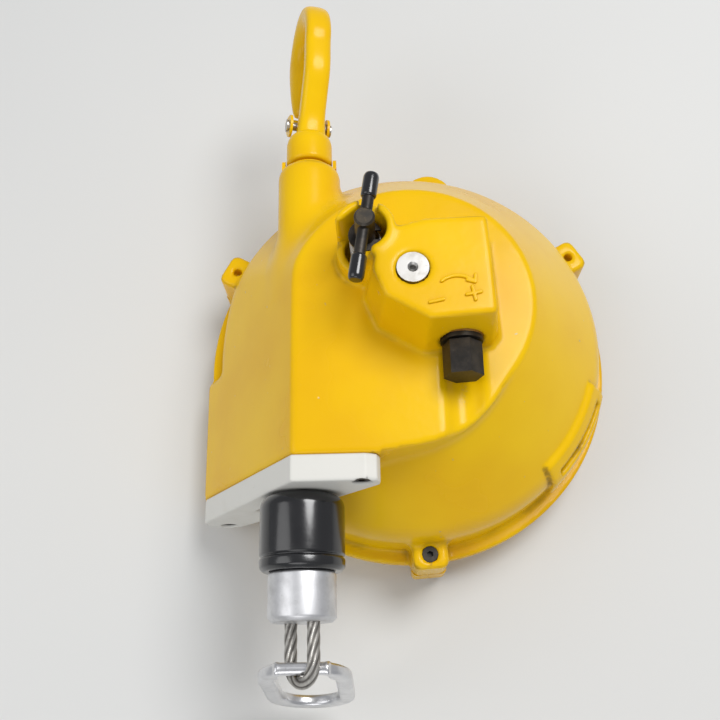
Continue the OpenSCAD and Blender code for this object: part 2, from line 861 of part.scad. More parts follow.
module thrust_bearing() {
  color(steel) hook_frame() {
    for (y = [76.1, 81.6]) translate([0, y, 0]) rotate([-90, 0, 0]) difference() {
      cylinder(r = 12.6, h = 2.2);
      translate([0, 0, -1]) cylinder(r = 7.7, h = 5);
    }
    for (a = [0:36:324]) rotate([0, a, 0]) translate([10.1, 79.95, 0]) sphere(r = 1.62, $fn = 24);
  }
}

module latch_pin() {
  color(steel) hook_frame() translate([latch_u, latch_y, -12.4]) {
    cylinder(r = 2.45, h = 24.8);
    for (z = [-1, 24.8]) translate([0, 0, z]) cylinder(r = 3.6, h = 1);
  }
}

module latch_spring() {
  color(steel) hook_frame() for (z = [8.6, 9.6]) translate([latch_u, latch_y, z])
    rotate_extrude() translate([3.7, 0]) circle(r = 0.45, $fn = 16);
}

// Sheet latch from its pin to the inside of the bill
module latch() {
  color(steel) hook_frame() translate([latch_u, latch_y, 0]) rotate(51) difference() {
    union() {
      for (z = [-11.8, 10.3]) translate([0, 0, z]) linear_extrude(1.5) {
        circle(r = 6.5);
        polygon([[0, -6.5], [4, -6.5], [14, -4.6], [14, -1.5], [6, 4], [0, 6.5]]);
      }
      translate([10, -4.6, -11.8]) cube([4, 1.5, 23.6]);
      translate([12, -4.6, -8]) cube([10, 1.5, 16]);
      translate([21, -4.6, -9.5]) cube([4.4, 1.5, 19]);
    }
    translate([0, 0, -20]) cylinder(r = 2.5, h = 40);
  }
}

module lock_pin() {
  color(bronze) translate([lock_x, lock_y, 0]) difference() {
    union() {
      translate([0, 0, drum_top + 7]) cylinder(r = lock_r, h = bar_z + 4.5 - drum_top - 7);
      translate([0, 0, bar_z + 4.5 - e]) cylinder(r1 = lock_r, r2 = lock_r - 1, h = 1);
    }
    translate([0, 0, 160]) lock_groove();
    translate([0, 0, bar_z]) rotate([0, 90, bar_turn]) cylinder(r = 2.9, h = 40, center = true);
  }
}

module lock_groove() {
  difference() {
    cylinder(r = lock_r + 1, h = 1.3);
    translate([0, 0, -1]) cylinder(r = lock_r - 0.6, h = 4);
  }
}

// Frame of the lock bar, z along it
module on_bar() {
  translate([lock_x, lock_y, bar_z]) rotate([0, 0, bar_turn]) translate([-2.5, 0, 0])
    rotate([0, 90, 0]) children();
}

module lock_bar() {
  color(bronze) on_bar() cylinder(r = 2.9, h = 50, center = true);
}

module lock_grips() {
  color(rubber) on_bar()
    for (side = [-1, 1]) translate([0, 0, side * 21.5 - 6]) difference() {
      union() {
        cylinder(r = 3.9, h = 12);
        translate([0, 0, side < 0 ? -1.2 : 12]) cylinder(r = 3.2, h = 1.2);
      }
      translate([0, 0, side < 0 ? 2.5 : -1]) cylinder(r = 2.9, h = 10.5);
    }
}

module lock_circlip() {
  color(dark_steel) translate([lock_x, lock_y, 160]) circlip(lock_r, 3.4);
}

// Coil that lifts the lock pin
module lock_spring() {
  steps = 14;
  laps = 6;
  n = steps * laps;
  sides = 6;
  from = front_z + 2.8;
  rise = 160 - 0.8 - from;
  pts = [
    for (i = [0:n]) let (a = i * 360 / steps)
      each [
        for (k = [0:sides - 1]) let (b = k * 60, r = 7.4 + 0.7 * cos(b))
          [r * cos(a), r * sin(a), from + rise * i / n + 0.7 * sin(b)]
      ]
  ];
  faces = [
    [for (k = [0:sides - 1]) k],
    [for (k = [sides - 1:-1:0]) n * sides + k],
    for (i = [0:n - 1]) for (k = [0:sides - 1]) let (j = (k + 1) % sides)
      [i * sides + k, (i + 1) * sides + k, (i + 1) * sides + j, i * sides + j]
  ];
  color(steel) translate([lock_x, lock_y, 0]) polyhedron(points = pts, faces = faces, convexity = 10);
}

front_case();
back_cover();
cover_screws();
wire_guide();
guide_screws();
bearing_plate();
bearing_plate_screws();
front_bush();
rear_bush();
worm_bushes();
neck_bush();
tab_washer();
lock_bush();
main_shaft();
worm_wheel();
wheel_key();
shaft_circlips();
spring_arbor();
worm_shaft();
worm_washer();
worm_circlip();
rope_drum();
drum_bearings();
lock_ring();
lock_ring_screws();
spring_cup();
drum_screws();
spring_cover();
spring_cover_screws();
spring_anchor_pin();
mainspring();
rope_windings();
rope_anchor();
rope_run();
rubber_bumper();
ferrule();
rope_eye();
end_link();
hook();
hook_nut();
nut_pin();
thrust_bearing();
latch_pin();
latch_spring();
latch();
lock_pin();
lock_bar();
lock_grips();
lock_circlip();
lock_spring();
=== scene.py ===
"""Looks of a spring balancer that lies on its back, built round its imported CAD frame.

The cast case is one implicit surface, the rope is a twisted sweep of lobes, and the hook is
a forged section carried along its bend. Each class below is one sub-assembly.
"""

import json
import logging
import math
from dataclasses import dataclass, field
from enum import Enum
from typing import Any, Callable, Sequence

import bpy
import numpy as np
from mathutils import Matrix, Vector


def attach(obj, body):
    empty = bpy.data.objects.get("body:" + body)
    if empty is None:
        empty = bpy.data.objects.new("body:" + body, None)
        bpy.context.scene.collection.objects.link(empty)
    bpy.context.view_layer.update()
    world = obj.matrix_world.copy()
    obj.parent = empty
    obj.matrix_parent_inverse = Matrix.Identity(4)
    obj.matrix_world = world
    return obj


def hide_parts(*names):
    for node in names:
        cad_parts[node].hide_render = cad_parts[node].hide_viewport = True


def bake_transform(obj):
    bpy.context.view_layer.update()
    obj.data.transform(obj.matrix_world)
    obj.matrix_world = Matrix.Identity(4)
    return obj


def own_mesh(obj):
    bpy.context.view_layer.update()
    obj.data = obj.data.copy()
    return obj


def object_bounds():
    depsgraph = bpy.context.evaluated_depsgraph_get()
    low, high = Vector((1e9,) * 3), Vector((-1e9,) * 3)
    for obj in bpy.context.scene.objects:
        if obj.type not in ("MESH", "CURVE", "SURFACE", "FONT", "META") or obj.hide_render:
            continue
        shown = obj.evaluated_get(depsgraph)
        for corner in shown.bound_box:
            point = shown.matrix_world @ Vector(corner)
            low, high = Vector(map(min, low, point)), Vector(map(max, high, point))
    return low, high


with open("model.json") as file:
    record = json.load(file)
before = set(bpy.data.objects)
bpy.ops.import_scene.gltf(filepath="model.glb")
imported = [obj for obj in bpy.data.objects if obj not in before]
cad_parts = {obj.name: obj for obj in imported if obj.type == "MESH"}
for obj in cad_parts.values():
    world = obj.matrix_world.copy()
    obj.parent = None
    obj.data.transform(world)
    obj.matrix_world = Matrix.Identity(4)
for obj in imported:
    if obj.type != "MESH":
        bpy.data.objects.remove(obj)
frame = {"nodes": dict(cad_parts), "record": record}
CAD_BOX = [list(corner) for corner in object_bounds()]
MM = 0.001
log = logging.getLogger("balancer")
Array = np.ndarray
Profile = Sequence[tuple[float, float]]
# Outline of the rope guide and of its seat, as x and z
GUIDE_EDGE = (
    (-61, 135), (-25, 135), (-19.5, 133), (-18, 128), (-18, 123), (-95, 20), (-102, 12),
    (-109, 9), (-117, 11), (-122, 18), (-122.5, 25), (-121, 32),
)


# ---------------------------------------------------------------- shader maths


class Sock:
    """A shader socket that can be written in a Python expression."""

    def __init__(self, graph: "Graph", socket: Any) -> None:
        """Keeps the socket and the graph that makes its Math nodes."""
        self.graph = graph
        self.socket = socket

    def _math(self, op: str, a: Any, b: Any = None) -> "Sock":
        """One Math node on a and b."""
        values = {0: a} if b is None else {0: a, 1: b}
        return self.graph.node("ShaderNodeMath", {"operation": op}, values)

    def __add__(self, other: Any) -> "Sock":
        """self + other."""
        return self._math("ADD", self, other)

    def __radd__(self, other: Any) -> "Sock":
        """other + self."""
        return self._math("ADD", other, self)

    def __sub__(self, other: Any) -> "Sock":
        """self - other."""
        return self._math("SUBTRACT", self, other)

    def __rsub__(self, other: Any) -> "Sock":
        """other - self."""
        return self._math("SUBTRACT", other, self)

    def __mul__(self, other: Any) -> "Sock":
        """self * other."""
        return self._math("MULTIPLY", self, other)

    def __rmul__(self, other: Any) -> "Sock":
        """other * self."""
        return self._math("MULTIPLY", other, self)

    def sin(self) -> "Sock":
        """Sine of self, in radians."""
        return self._math("SINE", self)

    def step(self, low: float, high: float) -> "Sock":
        """0 below low, 1 above high, smooth in between."""
        return self.graph.node(
            "ShaderNodeMapRange",
            {"interpolation_type": "SMOOTHSTEP"},
            {0: self, 1: low, 2: high, 3: 0.0, 4: 1.0},
        )


class Graph:
    """The node tree of one material."""

    def __init__(self, name: str) -> None:
        """Starts a material with a Principled shader and nothing else."""
        self.material = bpy.data.materials.new(name)
        self.material.use_nodes = True
        self.tree = self.material.node_tree
        self.shader = self.tree.nodes["Principled BSDF"]
        self.where = self.node("ShaderNodeTexCoord", {}, {}, "Object")

    def node(
        self, kind: str, settings: dict[str, Any], values: dict[Any, Any], out: Any = 0
    ) -> Sock:
        """Makes any node.

        Args:
            kind: the node's type name.
            settings: its properties, set before its sockets.
            values: numbers, colours or sockets by input name or index.
            out: name or index of the output to return.

        Returns:
            The chosen output as a Sock.
        """
        made = self.tree.nodes.new(kind)
        for key, value in settings.items():
            setattr(made, key, value)
        for key, value in values.items():
            if isinstance(value, Sock):
                self.tree.links.new(value.socket, made.inputs[key])
            else:
                made.inputs[key].default_value = value
        return Sock(self, made.outputs[out])

    def noise(
        self, scale: float, detail: float = 3.0, rough: float = 0.5, at: Sock | None = None
    ) -> Sock:
        """Noise between 0 and 1 with scale features per metre."""
        return self.node(
            "ShaderNodeTexNoise",
            {},
            {"Vector": at or self.where, "Scale": scale, "Detail": detail, "Roughness": rough},
            "Fac",
        )

    def mix(self, factor: Any, a: Any, b: Any) -> Sock:
        """Colour a where factor is 0 and b where it is 1."""
        return self.node(
            "ShaderNodeMix", {"data_type": "RGBA"}, {0: factor, 6: a, 7: b}, 2
        )

    def stretch(self, x: float, y: float, z: float) -> Sock:
        """Object coordinates scaled along each axis."""
        return self.node("ShaderNodeMapping", {}, {"Vector": self.where, "Scale": (x, y, z)})

    def attribute(self, name: str) -> Sock:
        """A number stored on the mesh, or 0 where the mesh has none."""
        return self.node("ShaderNodeAttribute", {"attribute_name": name}, {}, "Fac")

    def bump(self, height: Sock, distance: float, strength: float) -> Sock:
        """Normal of a surface raised by height times distance in metres."""
        values = {"Height": height, "Distance": distance, "Strength": strength}
        return self.node("ShaderNodeBump", {}, values)

    def wire(self, **inputs: Any) -> bpy.types.Material:
        """Sets or links the shader's inputs; underscores stand for spaces."""
        for key, value in inputs.items():
            socket = self.shader.inputs[key.replace("_", " ")]
            if isinstance(value, Sock):
                self.tree.links.new(value.socket, socket)
            else:
                socket.default_value = value
        return self.material


Colour = tuple[float, float, float, float]


@dataclass(frozen=True)
class Enamel:
    """Thick gloss paint over a casting: orange peel, chips on edges, painted shade in corners."""

    paint: Colour = (0.86, 0.535, 0.002, 1.0)
    shade: Colour = (0.78, 0.44, 0.002, 1.0)
    bare: Colour = (0.33, 0.32, 0.30, 1.0)
    # dark brown of the painted shade in corners and recesses
    dark_patch: Colour = (0.16, 0.085, 0.012, 1.0)

    def build(self, name: str) -> bpy.types.Material:
        """Returns the material; the mesh's 'wear' steers the chips and its corner attribute the
        painted shade in corners.
        """
        g = Graph(name)
        broad = g.noise(14.0, 3.0)
        blotch = g.noise(60.0, 4.0, 0.6)
        chip = g.noise(420.0, 5.0, 0.65)
        worn = g.attribute("wear").step(0.5, 0.95) * chip.step(0.53, 0.6) * blotch.step(0.52, 0.64)
        specks = g.noise(260.0, 2.0, 0.4).step(0.75, 0.765)
        bare = worn + specks * 0.6 * blotch.step(0.5, 0.62)
        # painted shade: darker brown in corners and recesses, in blotches, and made rougher there
        corner_shade_mask = g.attribute("corner_shade").step(0.2, 1.0) * blotch.step(0.35, 0.7) * 0.75
        paint = g.mix(broad.step(0.3, 0.75), self.paint, self.shade)
        shaded_paint = g.mix(corner_shade_mask, paint, self.dark_patch)
        colour = g.mix(bare, shaded_paint, self.bare)
        peel = g.noise(330.0, 2.0, 0.5)
        swell = g.noise(75.0, 2.0, 0.5)
        height = peel * 0.35 + swell - bare * 1.3
        normal = g.bump(height, 0.00035, 0.35)
        return g.wire(
            Base_Color=colour,
            Roughness=0.2 + broad * 0.12 + corner_shade_mask * 0.35 + bare * 0.25,
            Metallic=bare * 0.7,
            Normal=normal,
            Coat_Weight=0.05,
            Coat_Roughness=0.08,
            Specular_IOR_Level=0.16,
        )


@dataclass(frozen=True)
class Metal:
    """Steel, bronze or plating with turned or drawn lines and a little staining."""

    base: Colour
    stain: Colour
    rough: float = 0.35
    lines: tuple[float, float, float] = (1.0, 1.0, 1.0)
    grain: float = 900.0
    depth: float = 0.00004
    metallic: float = 1.0

    def build(self, name: str) -> bpy.types.Material:
        """Returns the material."""
        g = Graph(name)
        cloud = g.noise(110.0, 4.0, 0.6)
        fine = g.noise(self.grain, 3.0, 0.6, g.stretch(*self.lines))
        spots = g.noise(520.0, 3.0, 0.55).step(0.62, 0.72)
        colour = g.mix(cloud.step(0.35, 0.8) * 0.6 + spots * 0.3, self.base, self.stain)
        return g.wire(
            Base_Color=colour,
            Roughness=self.rough + fine * 0.16 + cloud * 0.1 - 0.08,
            Metallic=self.metallic,
            Normal=g.bump(fine, self.depth, 0.5),
        )


@dataclass(frozen=True)
class Plastic:
    """Nylon or rubber: a soft sheen, scuffs and a few marks of use."""

    base: Colour
    mark: Colour
    rough: float = 0.45
    grain: float = 500.0
    marks: float = 0.66
    coat: float = 0.0

    def build(self, name: str) -> bpy.types.Material:
        """Returns the material."""
        g = Graph(name)
        cloud = g.noise(45.0, 4.0, 0.6)
        scratch = g.noise(170.0, 5.0, 0.7, g.stretch(1.0, 3.0, 1.0))
        scuff = scratch.step(self.marks, self.marks + 0.1)
        fine = g.noise(self.grain, 2.0, 0.5)
        colour = g.mix(scuff * 0.5 + cloud.step(0.5, 0.9) * 0.25, self.base, self.mark)
        return g.wire(
            Base_Color=colour,
            Roughness=self.rough + cloud * 0.12 + scuff * 0.15,
            Normal=g.bump(fine + cloud, 0.00015, 0.3),
            Coat_Weight=self.coat,
            Coat_Roughness=0.15,
        )


@dataclass(frozen=True)
class WireRope:
    """Strands of fine wires; the strands are in the mesh, the wires in its own UV map, with painted
    shade between them.
    """

    bright: Colour = (0.60, 0.58, 0.54, 1.0)
    # dark steel for the painted shade between strands and between wires, and for grime patches
    shade_and_dirt: Colour = (0.10, 0.09, 0.08, 1.0)

    def build(self, name: str) -> bpy.types.Material:
        """Returns the material: u runs round the rope, v along it in strand pitches."""
        g = Graph(name)
        uv = g.node("ShaderNodeUVMap", {"uv_map": "lay"}, {})
        parts = g.tree.nodes.new("ShaderNodeSeparateXYZ")
        g.tree.links.new(uv.socket, parts.inputs[0])
        u, v = Sock(g, parts.outputs[0]), Sock(g, parts.outputs[1])
        wires = ((u * 24.0 + v * 40.0) * math.tau).sin() * 0.5 + 0.5
        hollow = g.attribute("valley")
        dark_patch = g.noise(420.0, 3.0, 0.6).step(0.45, 0.75)
        # painted shade: darker in the valleys between strands and in the grooves between wires; the
        # noise patches are grime
        shade_and_dirt = hollow * 0.75 + (1 - wires) * 0.22 + dark_patch * 0.2
        return g.wire(
            Base_Color=g.mix(shade_and_dirt, self.bright, self.shade_and_dirt),
            Roughness=0.28 + hollow * 0.3 + dark_patch * 0.15,
            Metallic=1.0,
            Normal=g.bump(wires, 0.00018, 0.6),
        )


class Finish(Enum):
    """Every finish that the balancer wears, by the record's material slot."""

    ENAMEL = ("enamel", Enamel())
    NYLON = ("nylon", Plastic((0.70, 0.69, 0.64, 1.0), (0.42, 0.38, 0.28, 1.0), 0.42))
    RUBBER = (
        "rubber",
        Plastic((0.006, 0.006, 0.007, 1.0), (0.05, 0.05, 0.05, 1.0), 0.16, 260.0, 0.68, 0.5),
    )
    BRONZE = ("bronze", Metal((0.62, 0.42, 0.20, 1.0), (0.30, 0.17, 0.07, 1.0), 0.38))
    PLATED = (
        "plated",
        Metal((0.045, 0.042, 0.038, 1.0), (0.16, 0.12, 0.07, 1.0), 0.36, metallic=0.85),
    )
    POLISHED = (
        "polished_steel",
        Metal((0.74, 0.74, 0.75, 1.0), (0.50, 0.50, 0.51, 1.0), 0.26, (1.0, 0.08, 1.0)),
    )
    ROPE = ("rope", WireRope())
    FORGED = (
        "forged_steel",
        Metal((0.30, 0.29, 0.28, 1.0), (0.12, 0.10, 0.08, 1.0), 0.5, depth=0.0001),
    )
    BLACK = (
        "black_steel",
        Metal(
            (0.035, 0.033, 0.031, 1.0), (0.10, 0.085, 0.07, 1.0), 0.42, depth=0.00008, metallic=0.9
        ),
    )
    ALUMINIUM = (
        "aluminium",
        Metal((0.72, 0.72, 0.73, 1.0), (0.45, 0.45, 0.45, 1.0), 0.4, (0.2, 0.2, 3.0)),
    )
    STEEL = (
        "steel",
        Metal((0.50, 0.49, 0.47, 1.0), (0.22, 0.19, 0.15, 1.0), 0.34, (1.0, 1.0, 0.1)),
    )

    @property
    def slot(self) -> str:
        """The record's slot name."""
        return self.value[0]

    def material(self) -> bpy.types.Material:
        """The built material, made once."""
        name = "finish_" + self.slot
        return bpy.data.materials.get(name) or self.value[1].build(name)


# ---------------------------------------------------------------- surfaces


def piece(
    name: str, points: Array, faces: Array, finish: Finish, body: str
) -> bpy.types.Object:
    """Puts a finished surface into the scene.

    Args:
        name: the piece's name.
        points: vertices in millimetres, as (n, 3).
        faces: quads as (m, 4) vertex numbers; a repeated last number is a triangle.
        finish: its finish.
        body: the CAD body it rides on, or "" for a piece that rides on none.

    Returns:
        The new object.
    """
    mesh = bpy.data.meshes.new(name)
    rows = [f[:3] if f[2] == f[3] else f for f in faces.tolist()]
    mesh.from_pydata((points * MM).tolist(), [], rows)
    mesh.validate()
    mesh.polygons.foreach_set("use_smooth", [True] * len(mesh.polygons))
    thing = bpy.data.objects.new(name, mesh)
    bpy.context.scene.collection.objects.link(thing)
    mesh.materials.append(finish.material())
    finish.slot
    if body:
        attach(thing, body)
    log.info("%s: %d faces", name, len(mesh.polygons))
    return thing


def grid_faces(rows: int, columns: int, close_rows: bool, close_columns: bool) -> Array:
    """Quads of a rows by columns grid of vertices, joined round where it closes."""
    i = np.arange(rows if close_rows else rows - 1)[:, None]
    j = np.arange(columns if close_columns else columns - 1)[None, :]
    k, m = (i + 1) % rows, (j + 1) % columns
    cells = [i * columns + j, i * columns + m, k * columns + m, k * columns + j]
    return np.stack([np.broadcast_to(c, (i.size, j.size)) for c in cells], -1).reshape(-1, 4)


def capped(points: Array, faces: Array, rows: int, columns: int) -> tuple[Array, Array]:
    """Closes a tube's two open ends with a fan round each end's middle."""
    ends = np.stack([points[:columns].mean(0), points[-columns:].mean(0)])
    j = np.arange(columns)
    m = (j + 1) % columns
    first, last = len(points), len(points) + 1
    low = np.stack([m, j, np.full(columns, first), np.full(columns, first)], -1)
    base = (rows - 1) * columns
    high = np.stack([base + j, base + m, np.full(columns, last), np.full(columns, last)], -1)
    return np.vstack([points, ends]), np.vstack([faces, low, high])


def revolve(
    profile: Profile, sides: int, place: Callable[[Array], Array]
) -> tuple[Array, Array]:
    """A profile of (radius, height) turned about its axis.

    A point is (radius cos a, radius sin a, height) for a grid of profile points and angles a.

    Args:
        profile: radius and height, from one end to the other.
        sides: how many steps round.
        place: turns (n, 3) points into the row frame.

    Returns:
        Points and faces, with both ends closed.
    """
    p = np.array(profile, float)
    a = np.linspace(0, math.tau, sides, endpoint=False)
    grid = np.stack(
        [p[:, :1] * np.cos(a), p[:, :1] * np.sin(a), np.repeat(p[:, 1:], sides, 1)], -1
    ).reshape(-1, 3)
    points, faces = capped(grid, grid_faces(len(p), sides, False, True), len(p), sides)
    return place(points), faces


def eased(profile: Profile, radius: float, steps: int = 4) -> list[tuple[float, float]]:
    """A profile with each inner corner cut back by radius and replaced by a quadratic arc."""
    p = [np.array(q, float) for q in profile]
    out = [tuple(p[0])]
    for a, b, c in zip(p, p[1:], p[2:]):
        r1 = min(radius, np.linalg.norm(a - b) * 0.45)
        r2 = min(radius, np.linalg.norm(c - b) * 0.45)
        s = b + (a - b) / np.linalg.norm(a - b) * r1
        e = b + (c - b) / np.linalg.norm(c - b) * r2
        out += [
            tuple((1 - t) ** 2 * s + 2 * t * (1 - t) * b + t * t * e)
            for t in np.linspace(0, 1, steps)
        ]
    return out + [tuple(p[-1])]


def smooth_path(points: Array, count: int) -> Array:
    """A Catmull-Rom curve through the points, resampled at count even steps of length."""
    p = np.vstack([2 * points[0] - points[1], points, 2 * points[-1] - points[-2]])
    t = np.linspace(0, 1, 24, endpoint=False)[:, None]
    spans = [
        b
        + 0.5 * (c - a) * t
        + (a - 2.5 * b + 2 * c - 0.5 * d) * t**2
        + (1.5 * b - 0.5 * a - 1.5 * c + 0.5 * d) * t**3
        for a, b, c, d in zip(p, p[1:], p[2:], p[3:])
    ]
    fine = np.vstack(spans + [points[-1:]])
    length = np.concatenate([[0], np.cumsum(np.linalg.norm(np.diff(fine[:, :3], axis=0), axis=1))])
    want = np.linspace(0, length[-1], count)
    return np.stack([np.interp(want, length, fine[:, i]) for i in range(fine.shape[1])], -1)


def sweep(path: Array, section: Array, up: Array) -> Array:
    """A section carried along a path.

    At each path point the tangent t, the side s = up x t and n = t x s carry the section,
    so a point is path + s * section_x + n * section_y.

    Args:
        path: (rows, 3) points.
        section: (rows, sides, 2) points, or (sides, 2) for the same one all along.
        up: a direction that the path never points in.

    Returns:
        (rows * sides, 3) points.
    """
    t = np.gradient(path, axis=0)
    t /= np.linalg.norm(t, axis=1, keepdims=True)
    s = np.cross(np.broadcast_to(up, t.shape), t)
    s /= np.linalg.norm(s, axis=1, keepdims=True)
    n = np.cross(t, s)
    section = np.broadcast_to(section, (len(path),) + section.shape[-2:])
    across, over = section[..., :1], section[..., 1:]
    return (path[:, None] + s[:, None] * across + n[:, None] * over).reshape(-1, 3)


def implicit(
    value: Callable[..., Array], low: Sequence[float], high: Sequence[float], step: float
) -> tuple[Array, Array]:
    """The surface where value(x, y, z) is 0, inside negative.

    Each grid cell that the surface crosses gets one vertex, the mean of its edge crossings.
    Each grid edge that it crosses gets a quad of its four cells. Two Newton steps then move
    every vertex along the gradient, on to the surface itself.

    Args:
        value: the signed distance, for arrays of x, y and z in millimetres.
        low: lowest corner.
        high: highest corner.
        step: the grid's pitch.

    Returns:
        Points and quads, facing outwards.
    """
    axes = [np.arange(a, b + step, step) for a, b in zip(low, high)]
    f = value(*np.meshgrid(*axes, indexing="ij", sparse=True)).astype(np.float32)
    f = np.broadcast_to(f, tuple(len(a) for a in axes))
    inside = f < 0
    cells = tuple(n - 1 for n in f.shape)
    total = np.zeros(cells + (3,), np.float32)
    count = np.zeros(cells, np.int16)
    crossings = []
    for axis in range(3):
        lo = [slice(None)] * 3
        hi = [slice(None)] * 3
        lo[axis], hi[axis] = slice(None, -1), slice(1, None)
        a, b = f[tuple(lo)], f[tuple(hi)]
        cross = inside[tuple(lo)] != inside[tuple(hi)]
        t = np.where(cross, a / np.where(cross, a - b, 1), 0)
        crossings.append((cross, inside[tuple(lo)]))
        others = [k for k in range(3) if k != axis]
        for da in (0, 1):
            for db in (0, 1):
                cut = [slice(None)] * 3
                cut[others[0]] = slice(da, da + cells[others[0]])
                cut[others[1]] = slice(db, db + cells[others[1]])
                hit = cross[tuple(cut)]
                count += hit
                total[..., axis] += t[tuple(cut)] * hit
                total[..., others[0]] += da * hit
                total[..., others[1]] += db * hit
    active = count > 0
    number = np.full(cells, -1, np.int64)
    number[active] = np.arange(int(active.sum()))
    corner = np.stack(np.nonzero(active), -1)
    points = (corner + total[active] / count[active][:, None]) * step + np.array(low)
    quads = []
    for axis in range(3):
        cross, starts_inside = crossings[axis]
        b, c = (axis + 1) % 3, (axis + 2) % 3
        at = np.stack(np.nonzero(cross), -1)
        ok = (at[:, b] > 0) & (at[:, c] > 0) & (at[:, b] < cells[b]) & (at[:, c] < cells[c])
        at = at[ok]
        ring = []
        for db, dc in ((-1, -1), (0, -1), (0, 0), (-1, 0)):
            q = at.copy()
            q[:, b] += db
            q[:, c] += dc
            ring.append(number[q[:, 0], q[:, 1], q[:, 2]])
        quad = np.stack(ring, -1)
        out = starts_inside[tuple(at.T)]
        quads.append(np.where(out[:, None], quad, quad[:, ::-1]))
    for _ in range(2):
        here, slope = value(*points.T), gradient(value, points)
        move = here[:, None] * slope / np.maximum((slope**2).sum(1, keepdims=True), 0.3)
        points = points - np.clip(move, -0.6 * step, 0.6 * step)
    return points, np.vstack(quads)


def gradient(value: Callable[..., Array], points: Array, h: float = 0.05) -> Array:
    """Central differences of value at each point."""
    rows = [
        (value(*(points + d).T) - value(*(points - d).T)) / (2 * h) for d in np.eye(3) * h
    ]
    return np.stack(rows, -1)


def smax(a: Array, b: Array, k: float) -> Array:
    """The larger of a and b, rounded over a width of k."""
    if k <= 0:
        return np.maximum(a, b)
    h = np.maximum(k - np.abs(a - b), 0) / k
    return np.maximum(a, b) + h * h * k / 4


def smin(a: Array, b: Array, k: float) -> Array:
    """The smaller of a and b, with a fillet of about k."""
    return -smax(-a, -b, k)


def hull_distance(corners: Sequence[tuple[float, float]]) -> Callable[[Array, Array], Array]:
    """Signed distance to the convex hull of 2D points: the largest of its edges' distances."""
    pts = sorted(set((round(x, 4), round(y, 4)) for x, y in corners))
    chains = []
    for run in (pts, pts[::-1]):
        chain: list[tuple[float, float]] = []
        for p in run:
            while len(chain) > 1 and (
                (chain[-1][0] - chain[-2][0]) * (p[1] - chain[-2][1])
                - (chain[-1][1] - chain[-2][1]) * (p[0] - chain[-2][0])
            ) <= 0:
                chain.pop()
            chain.append(p)
        chains += chain[:-1]
    ring = np.array(chains)
    side = np.roll(ring, -1, 0) - ring
    normal = np.stack([side[:, 1], -side[:, 0]], -1) / np.linalg.norm(side, axis=1, keepdims=True)
    reach = (normal * ring).sum(1)

    def distance(x: Array, y: Array) -> Array:
        """The distance at x, y."""
        out = None
        for (nx, ny), c in zip(normal, reach):
            d = nx * x + ny * y - c
            out = d if out is None else np.maximum(out, d)
        return out

    return distance


def circle(x: float, y: float, r: float, n: int = 48) -> list[tuple[float, float]]:
    """Points on a circle."""
    turns = np.linspace(0, math.tau, n, endpoint=False)
    return [(x + r * math.cos(a), y + r * math.sin(a)) for a in turns]


def outline_distance(corners: Sequence[tuple[float, float]]) -> Callable[[Array, Array], Array]:
    """Signed distance to any simple polygon: the nearest edge's, negative inside."""
    ring = np.array(corners, float)
    ends = np.roll(ring, -1, 0)

    def distance(x: Array, y: Array) -> Array:
        """The distance at x, y."""
        best, inside = np.inf, False
        for (ax, ay), (bx, by) in zip(ring, ends):
            ex, ey = bx - ax, by - ay
            t = np.clip(((x - ax) * ex + (y - ay) * ey) / (ex * ex + ey * ey), 0, 1)
            best = np.minimum(best, np.hypot(x - ax - t * ex, y - ay - t * ey))
            if ey != 0:
                crosses = (ay > y) != (by > y)
                inside = inside ^ (crosses & (x < ax + (y - ay) * ex / ey))
        return np.where(inside, -best, best)

    return distance


def stick(x: Array, y: Array, a: tuple[float, float], b: tuple[float, float]) -> Array:
    """Distance to the straight line from a to b."""
    ex, ey = b[0] - a[0], b[1] - a[1]
    t = np.clip(((x - a[0]) * ex + (y - a[1]) * ey) / (ex * ex + ey * ey), 0, 1)
    return np.hypot(x - a[0] - t * ex, y - a[1] - t * ey)


def turned(x: Array, y: Array, degrees: float) -> tuple[Array, Array]:
    """x and y along and across a direction at that angle."""
    c, s = math.cos(math.radians(degrees)), math.sin(math.radians(degrees))
    return x * c + y * s, y * c - x * s


def tube(
    x: Array, y: Array, z: Array, at: tuple[float, float], r: float, y0: float, y1: float
) -> Array:
    """A round bar along Y from y0 to y1, its axis at x, z."""
    return np.maximum(np.hypot(x - at[0], z - at[1]) - r, np.maximum(y0 - y, y - y1))


def wear_and_corner_shade(thing: bpy.types.Object, value: Callable[..., Array], points: Array) -> None:
    """Stores how sharp and how sunken the surface is round each vertex.

    Under a flat wall a point 1.5 mm in lies 1.5 mm deep; near an edge it is less deep, and
    the rest is 'wear'. Over it a point 3 mm out lies 3 mm off, and less in a corner: that shortfall
    steers painted shade.
    """
    slope = gradient(value, points)
    normal = slope / np.maximum(np.linalg.norm(slope, axis=1, keepdims=True), 1e-6)
    wear = np.clip((value(*(points - 1.5 * normal).T) + 1.5) / 0.9, 0, 1)
    # how far corners and recesses close in, kept for the painted shade in the enamel
    corner_shade = np.clip((3 - value(*(points + 3 * normal).T)) / 1.5, 0, 1)
    for name, data in (("wear", wear), ("corner_shade", corner_shade)):
        layer = thing.data.attributes.new(name, "FLOAT", "POINT")
        layer.data.foreach_set("value", data.astype(np.float32))


# ---------------------------------------------------------------- sub-assemblies


